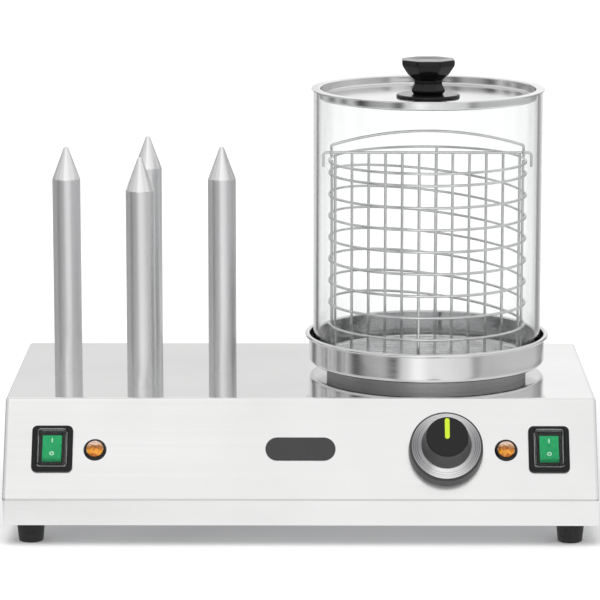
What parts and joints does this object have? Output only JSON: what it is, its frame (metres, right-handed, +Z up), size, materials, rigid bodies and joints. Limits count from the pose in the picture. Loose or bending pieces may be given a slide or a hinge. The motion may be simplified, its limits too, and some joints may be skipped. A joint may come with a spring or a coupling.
{
  "type": "hot dog spike warmer",
  "caption": "Counter-top hot dog warmer: sloped steel cabinet with upright bun spikes and, beside them, a water pan with a lidded glass cylinder round a divided wire basket.",
  "frame": {"origin": "on the standing surface, below the middle of the machine's plan", "axes": "+X to the right as the user faces the controls, +Y to the back, +Z up"},
  "size_m": [0.5, 0.3144, 0.3905],
  "materials": {
    "stainless": "bright satin",
    "spike_aluminium": "satin, turned",
    "plate_aluminium": "cast, satin",
    "bright_wire": "bright",
    "dial_chrome": "bright, finely turned",
    "clear_glass": "clear",
    "gloss_black": "gloss",
    "matte_black": "matte",
    "clear_boot": "clear, gloss",
    "rocker_green": "gloss",
    "lens_amber": "translucent, gloss",
    "foot_rubber": "matte",
    "pointer_yellow": "matte",
    "badge_dark": "semi-gloss",
    "zinc_steel": "plated"
  },
  "bodies": {
    "cabinet": {"casing_shell": "stainless", "base_plate": "zinc_steel", "rubber_feet": "foot_rubber", "bun_spikes": "spike_aluminium", "hot_plate": "plate_aluminium", "thermostat_body": "zinc_steel", "dial_backing": "matte_black", "dial_ring": "dial_chrome", "switch_frames": "matte_black", "switch_boots": "clear_boot", "switch_bodies": "matte_black", "lamp_bezels": "gloss_black", "lamp_lenses": "lens_amber", "lamp_bodies": "matte_black", "badge_plate": "badge_dark", "cable_gland": "matte_black"},
    "knob": {"thermostat_knob": "gloss_black", "knob_pointer": "pointer_yellow", "thermostat_shaft": "zinc_steel"},
    "rocker_left": {"rocker_left": "rocker_green"},
    "rocker_right": {"rocker_right": "rocker_green"},
    "pan": {"water_pan": "stainless"},
    "glass": {"glass_cylinder": "clear_glass"},
    "lid": {"lid_dish": "stainless", "knob_disc": "gloss_black", "lid_knob": "gloss_black"},
    "basket": {"basket_rim": "bright_wire", "basket_coil": "bright_wire", "basket_rods": "bright_wire", "basket_floor": "bright_wire", "basket_divider": "bright_wire"},
    "bail": {"basket_bail": "bright_wire"}
  },
  "joints": [
    {"name": "pan_lift", "type": "slide", "parent": "cabinet", "child": "pan", "axis": [0, 0, 1], "range_m": [0, 0.22]},
    {"name": "glass_lift", "type": "slide", "parent": "pan", "child": "glass", "axis": [0, 0, 1], "range_m": [0, 0.22]},
    {"name": "lid_lift", "type": "slide", "parent": "glass", "child": "lid", "axis": [0, 0, 1], "range_m": [0, 0.36]},
    {"name": "basket_lift", "type": "slide", "parent": "pan", "child": "basket", "axis": [0, 0, 1], "range_m": [0, 0.252]},
    {"name": "bail_swing", "type": "hinge", "parent": "basket", "child": "bail", "pos_m": [0.1105, 0.03948, 0.3086], "axis": [1, 0, 0], "range_deg": [-80, 80]},
    {"name": "knob_turn", "type": "hinge", "parent": "cabinet", "child": "knob", "pos_m": [0.1223, -0.11861, 0.07707], "axis": [0, 0.8371, -0.5471], "range_deg": [0, 270]},
    {"name": "rocker_left_tip", "type": "hinge", "parent": "cabinet", "child": "rocker_left", "pos_m": [-0.209, -0.11628, 0.07698], "axis": [1, 0, 0], "range_deg": [0, 14]},
    {"name": "rocker_right_tip", "type": "hinge", "parent": "cabinet", "child": "rocker_right", "pos_m": [0.209, -0.11628, 0.07698], "axis": [1, 0, 0], "range_deg": [0, 14]}
  ],
  "couplings": [
    {"joint": "basket_lift", "follows": "lid_lift", "ratio": 0.7}
  ]
}
